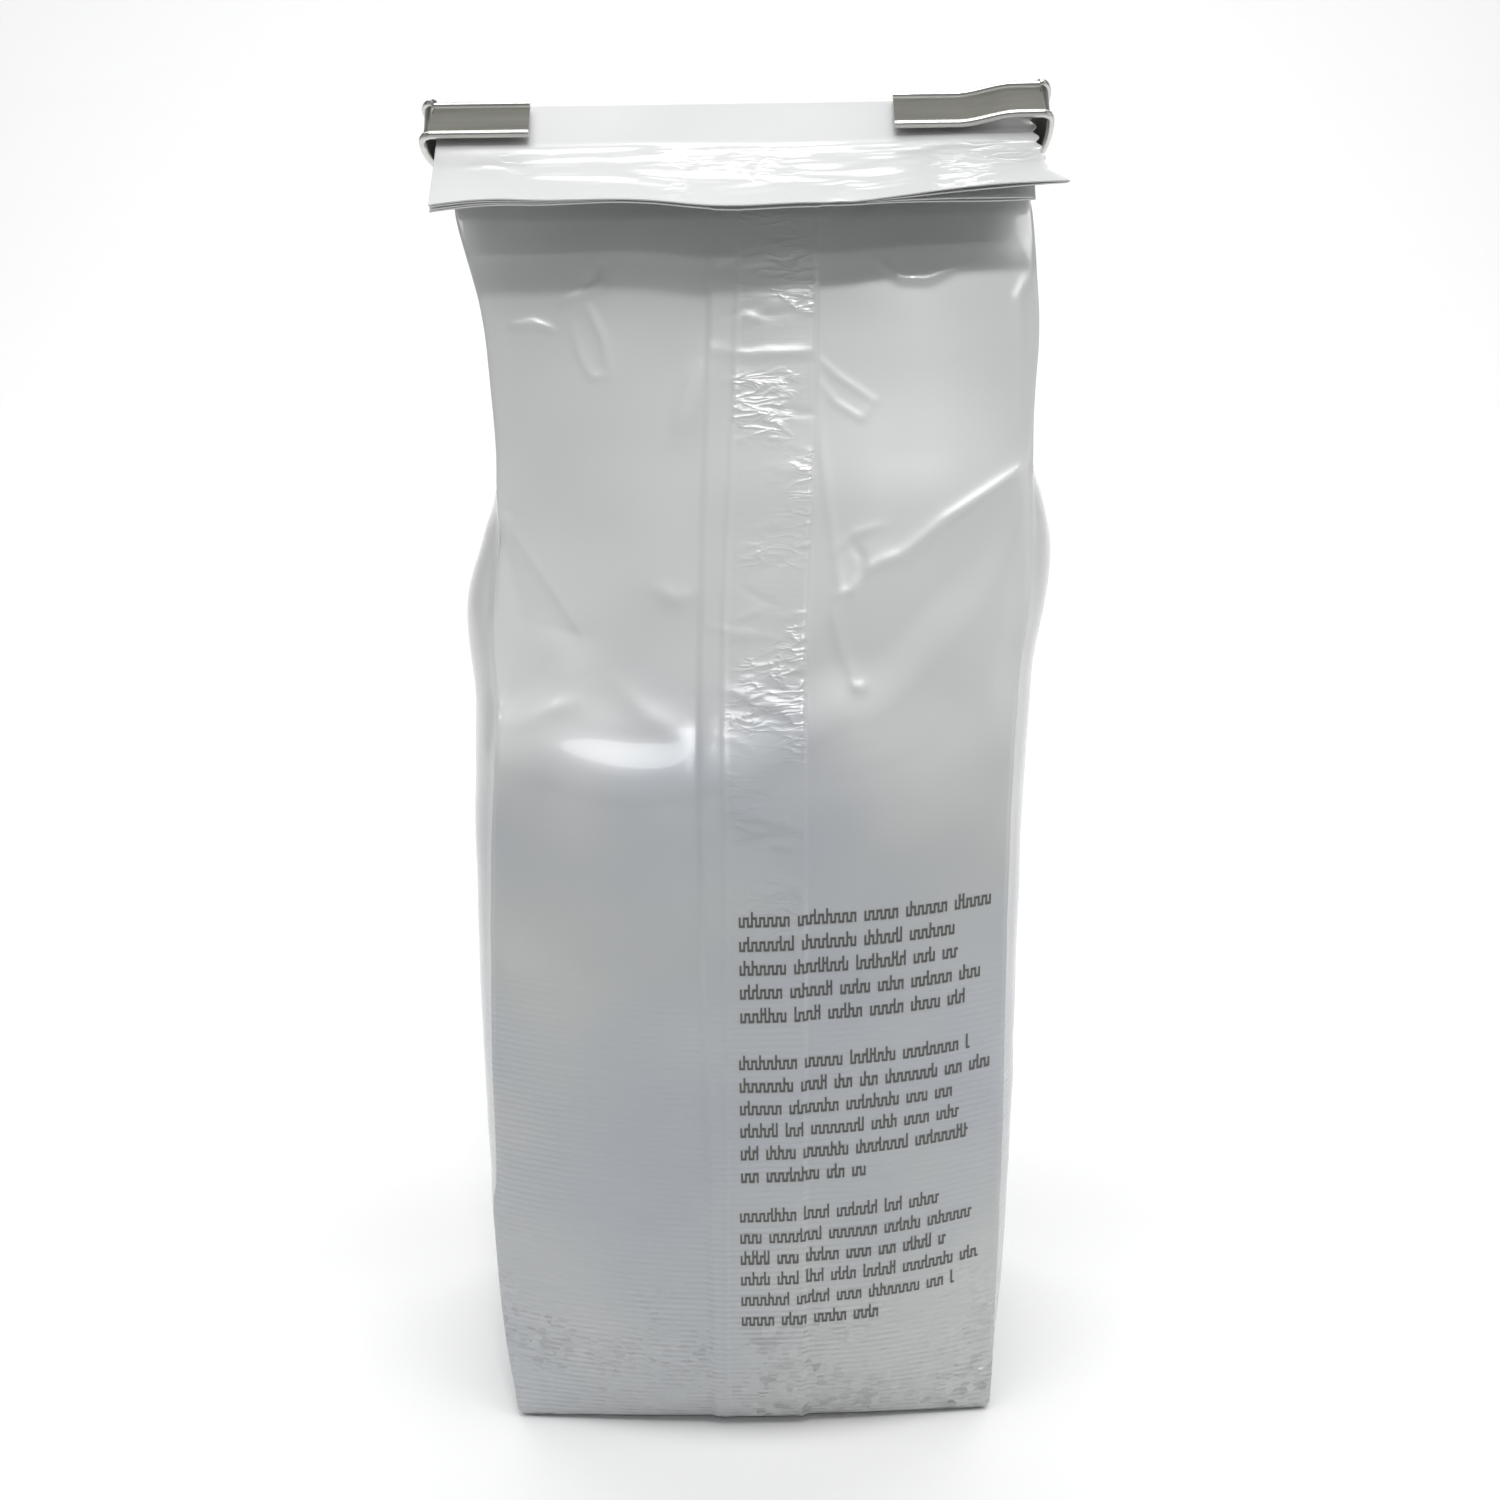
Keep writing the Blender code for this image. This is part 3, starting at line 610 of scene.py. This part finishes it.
rib_height = node(tree, "ShaderNodeMath", {"operation": "MULTIPLY"},
                  in0=ribs.outputs["Fac"], in1=rib_depth.outputs["Result"])
rib_bump = node(tree, "ShaderNodeBump", Strength=1.0, Distance=RIB_RISE,
                Height=rib_height.outputs[0])
grain_patch = node(tree, "ShaderNodeMapRange", {"interpolation_type": "SMOOTHSTEP"},
                   Value=patches.outputs["Fac"], From_Min=0.40, From_Max=0.6, To_Min=0.25,
                   To_Max=1.0)
grain_share = node(tree, "ShaderNodeMath", {"operation": "MULTIPLY"},
                   in0=grain_patch.outputs["Result"], in1=low_down.outputs["Result"])
# Each cell's colour leans the surface its own way, so that it reads as a facet.
grain_lean = node(tree, "ShaderNodeVectorMath", {"operation": "SUBTRACT"},
                  in0=grains.outputs["Color"], in1=(0.5, 0.5, 0.5))
grain_turn = node(tree, "ShaderNodeVectorMath", {"operation": "SCALE"},
                  in0=grain_lean.outputs[0], Scale=grain_share.outputs[0])
grain_sum = node(tree, "ShaderNodeVectorMath", {"operation": "ADD"},
                 in0=rib_bump.outputs[0], in1=grain_turn.outputs[0])
grain_facet = node(tree, "ShaderNodeVectorMath", {"operation": "NORMALIZE"},
                   in0=grain_sum.outputs[0])
seal_share = node(tree, "ShaderNodeMath", {"operation": "MULTIPLY"},
                  in0=patchy.outputs["Result"], in1=seal_read)
seal_height = node(tree, "ShaderNodeMath", {"operation": "MULTIPLY"},
                   in0=crinkle.outputs["Fac"], in1=seal_share.outputs[0])
seal_bump = node(tree, "ShaderNodeBump", Strength=0.45, Distance=CRINKLE_RISE,
                 Height=seal_height.outputs[0], Normal=grain_facet.outputs[0])
tint = node(tree, "ShaderNodeTexNoise", Vector=place, Scale=TINTS_PER_METRE, Detail=2.0)
# The colour is darker low down, up to between 105 and 130 mm, and lighter over the part above:
# painted shade on the lower body and painted light on the upper, for light that falls from above.
# Only the random mottle in each tone is the film's own.
tones = []
for low_tone, high_tone in (SHADED_LOW_TONES, LIT_HIGH_TONES):
    mottle = node(tree, "ShaderNodeValToRGB", in0=tint.outputs["Fac"])
    mottle.color_ramp.elements[0].color = colour(low_tone)
    mottle.color_ramp.elements[0].position = 0.35
    mottle.color_ramp.elements[1].color = colour(high_tone)
    mottle.color_ramp.elements[1].position = 0.65
    tones.append(mottle.outputs[0])
wander = node(tree, "ShaderNodeMath", {"operation": "MULTIPLY_ADD"},
              in0=tint.outputs["Fac"], in1=SHADE_EDGE_WANDER, in2=height)
# Share of the lighter tone: painted light above the edge, painted shade below it.
empty = node(tree, "ShaderNodeMapRange", {"interpolation_type": "SMOOTHSTEP"},
             Value=wander.outputs[0], From_Min=SHADE_EDGE[0], From_Max=SHADE_EDGE[1], To_Min=0.0,
             To_Max=1.0)
painted_shade_tone = node(tree, "ShaderNodeMix", {"data_type": "RGBA"}, in0=empty.outputs["Result"],
              in6=tones[0], in7=tones[1])
tree.links.new(painted_shade_tone.outputs[2], shader.inputs["Base Color"])
tree.links.new(seal_bump.outputs[0], shader.inputs["Normal"])
shader.inputs["Metallic"].default_value = 0.15
shader.inputs["Roughness"].default_value = 0.33
shader.inputs["IOR"].default_value = 1.5
shader.inputs["Coat Weight"].default_value = 0.7
shader.inputs["Coat Roughness"].default_value = 0.05
tree.links.new(seal_bump.outputs[0], shader.inputs["Coat Normal"])
film.data.materials.append(film_material)
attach(film, "root")
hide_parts("bag")

# The print
# Three blocks of small dark print flexo-printed on the panel. The words are left
# out: each line holds runs of one plain square wave, a thin film of grey ink.
PRINT_BLOCKS = (
    (-1.3, 93.6, 3.97, (38.2, 32.1, 32.7, 36.8, 34.0)),
    (-1.6, 69.8, 3.92, (34.9, 38.5, 32.1, 33.5, 34.9, 18.2)),
    (-1.9, 43.2, 3.88, (30.3, 35.8, 31.6, 37.2, 33.2, 21.8)),
)
CELL_WIDE = 0.31
CELL_TALL = 0.42
LOW_CELLS = 4
TALL_CELLS = 6
WORD_GAP_CELLS = 4
INK_LIFT = 0.07
INK_START_Y = -60.0


def word_columns(count, draw):
    """Cells to ink in each column of a line: every word is one square wave."""
    columns = []
    while len(columns) < count:
        for stroke in range(draw.randint(5, 15)):
            tall = TALL_CELLS if draw.random() < 0.2 else LOW_CELLS
            columns.append(range(tall))
            columns.append((LOW_CELLS - 1,) if stroke % 2 else (0,))
        columns.pop()
        columns += [()] * WORD_GAP_CELLS
    return columns[:count]


draw = random.Random(17)
ink_lines = []
for left, top, pitch, ends in PRINT_BLOCKS:
    for line, right in enumerate(ends):
        across = round((right - left) / CELL_WIDE)
        low = top - pitch * line
        clear_selection()
        bpy.ops.mesh.primitive_grid_add(x_subdivisions=across, y_subdivisions=TALL_CELLS, size=1,
                                        rotation=(math.pi / 2, 0, 0))
        ink = bpy.context.object
        ink.scale = (across * CELL_WIDE * MM, TALL_CELLS * CELL_TALL * MM, 1)
        middle = (left + across * CELL_WIDE / 2, INK_START_Y, low + TALL_CELLS * CELL_TALL / 2)
        ink.location = Vector(middle) * MM + SHIFT
        bpy.ops.object.transform_apply(location=True, rotation=True, scale=True)
        inked = word_columns(across, draw)
        bpy.ops.object.mode_set(mode="EDIT")
        bpy.ops.mesh.select_mode(type="FACE")
        bpy.ops.mesh.select_all(action="DESELECT")
        bpy.ops.object.mode_set(mode="OBJECT")
        for cell in ink.data.polygons:
            column = int(((cell.center.x - SHIFT.x) / MM - left) / CELL_WIDE)
            level = int((cell.center.z / MM - low) / CELL_TALL)
            cell.select = level not in inked[min(column, across - 1)]
        bpy.ops.object.mode_set(mode="EDIT")
        bpy.ops.mesh.delete(type="FACE")
        bpy.ops.object.mode_set(mode="OBJECT")
        wrap = ink.modifiers.new("on_film", "SHRINKWRAP")
        wrap.wrap_method = "PROJECT"
        wrap.use_project_y = True
        wrap.target = film
        wrap.offset = INK_LIFT * MM
        bpy.ops.object.modifier_apply(modifier=wrap.name)
        ink_lines.append(ink)
clear_selection()
for ink in ink_lines:
    ink.select_set(True)
bpy.context.view_layer.objects.active = ink_lines[0]
bpy.ops.object.join()
ink = bpy.context.object
ink.name = "ink_marks"
bpy.ops.object.shade_smooth()
ink_material, tree, shader = new_material("flexo_ink_grey")
place = node(tree, "ShaderNodeTexCoord").outputs["Object"]
wear = node(tree, "ShaderNodeTexNoise", Vector=place, Scale=900.0, Detail=2.0)
tone = node(tree, "ShaderNodeValToRGB", in0=wear.outputs["Fac"])
tone.color_ramp.elements[0].color = colour("#474744")
tone.color_ramp.elements[1].color = colour("#605F5B")
tree.links.new(tone.outputs[0], shader.inputs["Base Color"])
shader.inputs["Roughness"].default_value = 0.45
shader.inputs["Coat Weight"].default_value = 0.2
shader.inputs["Coat Roughness"].default_value = 0.15
ink.data.materials.append(ink_material)
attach(ink, "root")

# The tie
# A flat strip of thin tinned steel, rolled over a wire along both sides, glued
# behind the neck and bent by hand round both ends of the fold.
TIE_HEIGHT = 7.4
TIE_RIM_RADIUS = 0.6
TIE_WEB_HALF = 0.16
TIE_STAND = 2.0
TIE_DROP_LEFT = 4.4
TIE_DROP_RIGHT = 3.6
TIE_DROP_BEHIND = 3.0
TIE_LEFT_END = -30.5
TIE_RIGHT_END = 23.5
TIE_BEND = 1.7
TIE_LIFT = 1.7
TIE_LIFT_FROM = 33.0
TIE_LIFT_RUN = 8.5
TIE_GAP_LEFT = 0.75
TIE_GAP_RIGHT = 0.95
LEFT_STEPS = 9
BEHIND_STEPS = 30
BEND_STEPS = 18
RIGHT_STEPS = 18
RIM_SIDES = 14
WEB_SHARES = (0.4, 0.0, -0.4)

turned = (NECK_Y - FOLD_RADIUS + FOLD_RADIUS * math.cos(FOLD_TURN),
          BAG_FOLD_HEIGHT + FOLD_RADIUS * math.sin(FOLD_TURN))
flap_down = Vector((0.0, -math.sin(FOLD_TURN), math.cos(FOLD_TURN)))
flap_face = Vector((0.0, math.cos(FOLD_TURN), math.sin(FOLD_TURN)))
tie_on_flap = Vector((0.0, turned[0], turned[1])) + flap_face * TIE_STAND
tie_behind = Vector((0.0, NECK_Y + TIE_STAND, BAG_FOLD_HEIGHT - TIE_DROP_BEHIND))


def tie_on_face(x):
    lift = TIE_LIFT * float(ease((x - TIE_LIFT_FROM) / TIE_LIFT_RUN))
    drop = TIE_DROP_LEFT if x < 0 else TIE_DROP_RIGHT
    return Vector((x, 0, 0)) + tie_on_flap + flap_down * drop + flap_face * lift


tie_path = []
up = Vector((0.0, 0.0, 1.0))
left_edge = LEFT_EDGE[-1][1] + TIE_GAP_LEFT
right_edge = RIGHT_EDGE[-1][1] + TIE_GAP_RIGHT
for i in range(LEFT_STEPS):
    tie_path.append((tie_on_face(TIE_LEFT_END + (-left_edge - TIE_LEFT_END) * i / LEFT_STEPS),
                     -flap_down))
for side_sign, edge_x in ((-1, left_edge), (1, right_edge)):
    if side_sign > 0:
        for i in range(1, BEHIND_STEPS):
            x = -left_edge + (left_edge + right_edge) * i / BEHIND_STEPS
            tie_path.append((tie_behind + Vector((x, 0, 0)), up))
    on_face = tie_on_face(side_sign * edge_x)
    for i in range(BEND_STEPS + 1):
        angle = math.pi * i / BEND_STEPS
        part = 0.5 - 0.5 * math.cos(angle)
        if side_sign > 0:
            part = 1 - part
        spot = on_face.lerp(tie_behind, part)
        spot.x = side_sign * (edge_x + TIE_BEND * math.sin(angle))
        tie_path.append((spot, (-flap_down).lerp(up, part).normalized()))
for i in range(1, RIGHT_STEPS + 1):
    tie_path.append((tie_on_face(right_edge + (TIE_RIGHT_END - right_edge) * i / RIGHT_STEPS),
                     -flap_down))

reach = TIE_HEIGHT / 2 - TIE_RIM_RADIUS
first_turn = math.asin(TIE_WEB_HALF / TIE_RIM_RADIUS)
outline = []
for side_sign in (1, -1):
    for i in range(RIM_SIDES):
        turn = -math.pi + first_turn + (math.tau - 2 * first_turn) * i / (RIM_SIDES - 1)
        outline.append((side_sign * (reach + TIE_RIM_RADIUS * math.cos(turn)),
                        side_sign * TIE_RIM_RADIUS * math.sin(turn)))
    for share in WEB_SHARES:
        outline.append((side_sign * reach * share, side_sign * TIE_WEB_HALF))
tie_points = []
for i, (spot, tall) in enumerate(tie_path):
    before = tie_path[max(i - 1, 0)][0]
    after = tie_path[min(i + 1, len(tie_path) - 1)][0]
    tangent = (after - before).normalized()
    tall = (tall - tangent * tall.dot(tangent)).normalized()
    across = tangent.cross(tall)
    for a, b in outline:
        tie_points.append((spot + tall * a + across * b) * MM + SHIFT)
per_ring = len(outline)
tie_faces = []
for i in range(len(tie_path) - 1):
    for j in range(per_ring):
        k = (j + 1) % per_ring
        tie_faces.append((i * per_ring + j, i * per_ring + k,
                          (i + 1) * per_ring + k, (i + 1) * per_ring + j))
tie_faces.append(tuple(reversed(range(per_ring))))
last_ring = (len(tie_path) - 1) * per_ring
tie_faces.append(tuple(range(last_ring, last_ring + per_ring)))
tie_mesh = bpy.data.meshes.new("rolled_tie")
tie_mesh.from_pydata(tie_points, [], tie_faces)
tie = bpy.data.objects.new("rolled_tie", tie_mesh)
bpy.context.collection.objects.link(tie)
only(tie)
bpy.ops.object.mode_set(mode="EDIT")
bpy.ops.mesh.select_all(action="SELECT")
bpy.ops.mesh.normals_make_consistent(inside=False)
bpy.ops.object.mode_set(mode="OBJECT")
bpy.ops.object.shade_smooth_by_angle(angle=math.radians(45))
# Tinned steel strip with a fine lengthwise grain. Rims and web are the same metal: the rims keep
# the tin's pale colour, and the web is coloured dark as painted shade and painted reflection of
# the dark it faces.
for name, dark, light, metal, rough in (
        ("bright_tinned_rim", "#B9B9B4", "#DADAD6", 1.0, 0.24),
        # The web's dark colour is painted shade and painted reflection, not a lacquer.
        ("dull_lacquered_web", "#5E5E58", "#75756E", 0.75, 0.38)):
    tie_material, tree, shader = new_material(name)
    place = node(tree, "ShaderNodeTexCoord").outputs["Object"]
    stretch = node(tree, "ShaderNodeMapping", Vector=place, Scale=(60.0, 900.0, 900.0))
    grain = node(tree, "ShaderNodeTexNoise", Vector=stretch.outputs[0], Scale=1.0, Detail=3.0)
    metal_tone = node(tree, "ShaderNodeValToRGB", in0=grain.outputs["Fac"])
    metal_tone.color_ramp.elements[0].color = colour(dark)
    metal_tone.color_ramp.elements[1].color = colour(light)
    grain_bump = node(tree, "ShaderNodeBump", Strength=0.4, Distance=0.00004,
                      Height=grain.outputs["Fac"])
    tree.links.new(metal_tone.outputs[0], shader.inputs["Base Color"])
    tree.links.new(grain_bump.outputs[0], shader.inputs["Normal"])
    shader.inputs["Metallic"].default_value = metal
    shader.inputs["Roughness"].default_value = rough
    tie.data.materials.append(tie_material)
for i, face in enumerate(tie.data.polygons):
    on_rim = i % per_ring % (RIM_SIDES + len(WEB_SHARES)) < RIM_SIDES - 1
    face.material_index = 0 if on_rim else 1
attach(tie, "root")
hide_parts("tin_tie")

# The floor, the light and the camera
# A plain pale card sweep, a large soft box above, weak ones behind the camera, at
# both sides and on the sweep, and two small lamps for the glints and the flap's
# shadow. The camera is the photograph's: close, level with the top, tilted down.
FLOOR_BACK = 1.2
SWEEP_RADIUS = 0.5
SWEEP_STEPS = 16
CARD_FRONT = -0.70
CARD_AT_BAG = -0.078
clear_selection()
bpy.ops.mesh.primitive_plane_add(size=2.0)
floor = bpy.context.object
floor.name = "pale_sweep"
floor.scale = (4.0, (FLOOR_BACK + 3.0) / 2, 1.0)
floor.location = (0.0, (FLOOR_BACK - 3.0) / 2, 0.0)
bpy.ops.object.transform_apply(location=True, rotation=True, scale=True)
bpy.ops.object.mode_set(mode="EDIT")
bpy.ops.mesh.select_mode(type="EDGE")
bpy.ops.mesh.select_all(action="DESELECT")
bpy.ops.object.mode_set(mode="OBJECT")
for line in floor.data.edges:
    line.select = all(floor.data.vertices[v].co.y > 1.0 for v in line.vertices)
bpy.ops.object.mode_set(mode="EDIT")
for i in range(1, SWEEP_STEPS + 2):
    first = math.pi / 2 * (i - 1) / SWEEP_STEPS
    second = math.pi / 2 * min(i, SWEEP_STEPS) / SWEEP_STEPS
    rise = SWEEP_RADIUS * (math.cos(first) - math.cos(second)) if i <= SWEEP_STEPS else 1.0
    back = SWEEP_RADIUS * (math.sin(second) - math.sin(first))
    bpy.ops.mesh.extrude_region_move(TRANSFORM_OT_translate={"value": (0, back, rise)})
bpy.ops.object.mode_set(mode="OBJECT")
bpy.ops.object.shade_smooth()
floor_material, tree, shader = new_material("matte_white_card")
place = node(tree, "ShaderNodeTexCoord").outputs["Object"]
forward = node(tree, "ShaderNodeSeparateXYZ", in0=place).outputs["Y"]
graded = node(tree, "ShaderNodeMapRange", {"interpolation_type": "SMOOTHSTEP"},
              Value=forward, From_Min=CARD_FRONT, From_Max=CARD_AT_BAG, To_Min=0.0, To_Max=1.0)
# The card is coloured darker in front of the bag, darkest just before it: painted shade, not the
# card's own colour.
card = node(tree, "ShaderNodeValToRGB", in0=graded.outputs["Result"])
card.color_ramp.elements[0].color = colour("#D0D0D0")
card.color_ramp.elements[1].color = colour("#E4E4E4")
card.color_ramp.elements.new(0.93).color = colour("#A4A5A6")
tree.links.new(card.outputs[0], shader.inputs["Base Color"])
shader.inputs["Roughness"].default_value = 0.9
floor.data.materials.append(floor_material)

world = bpy.data.worlds.new("studio")
bpy.context.scene.world = world
world.use_nodes = True
world.node_tree.nodes["Background"].inputs[0].default_value = (0.75, 0.77, 0.8, 1)
world.node_tree.nodes["Background"].inputs[1].default_value = 0.12


def soft_light(name, place, target, width, depth, power):
    data = bpy.data.lights.new(name, "AREA")
    data.shape = "RECTANGLE"
    data.size = width
    data.size_y = depth
    data.energy = power
    light = bpy.data.objects.new(name, data)
    bpy.context.collection.objects.link(light)
    light.location = place
    light.rotation_euler = (Vector(target) - Vector(place)).to_track_quat("-Z", "Y").to_euler()
    return light


soft_light("overhead_box", (0.0, -0.44, 1.32), (0.0, -0.02, 0.15), 1.6, 0.8, 15.5)
soft_light("front_box", (0.0, -1.6, 0.62), (0.0, 0.0, 0.15), 2.8, 1.25, 1.8)
soft_light("key_spot", (0.05, -0.62, 1.05), (0.0, 0.0, 0.15), 0.11, 0.06, 2.2)
edge_key = soft_light("edge_key", (0.03, -1.05, 0.88), (0.0, 0.0, 0.15), 0.12, 0.05, 1.4)
edge_key.visible_glossy = False
soft_light("right_box", (1.3, -0.35, 0.5), (0.0, 0.0, 0.12), 1.1, 1.1, 2.8)
soft_light("left_box", (-1.3, -0.35, 0.5), (0.0, 0.0, 0.12), 1.1, 1.1, 1.1)
soft_light("sweep_box", (0.0, 0.9, 1.6), (0.0, 1.45, 0.3), 2.6, 0.8, 30)

PIXELS = 1500
FOCAL_PIXELS = 1958.0
CAMERA_BACK = 0.316
CAMERA_HEIGHT = 0.204
CAMERA_PITCH = math.radians(16.5)
CAMERA_ROLL = math.radians(0.84)
CAMERA_ASIDE = 0.0008
camera_data = bpy.data.cameras.new("camera")
camera_data.sensor_width = 36.0
camera_data.lens = 36.0 * FOCAL_PIXELS / PIXELS
camera_data.clip_start = 0.01
camera = bpy.data.objects.new("camera", camera_data)
bpy.context.collection.objects.link(camera)
camera.matrix_world = (
    Matrix.Translation((CAMERA_ASIDE + SHIFT.x, -CAMERA_BACK + SHIFT.y, CAMERA_HEIGHT))
    @ Matrix.Rotation(math.pi / 2 - CAMERA_PITCH, 4, "X")
    @ Matrix.Rotation(-CAMERA_ROLL, 4, "Z"))
bpy.context.scene.camera = camera
bpy.context.scene.view_settings.view_transform = "Standard"
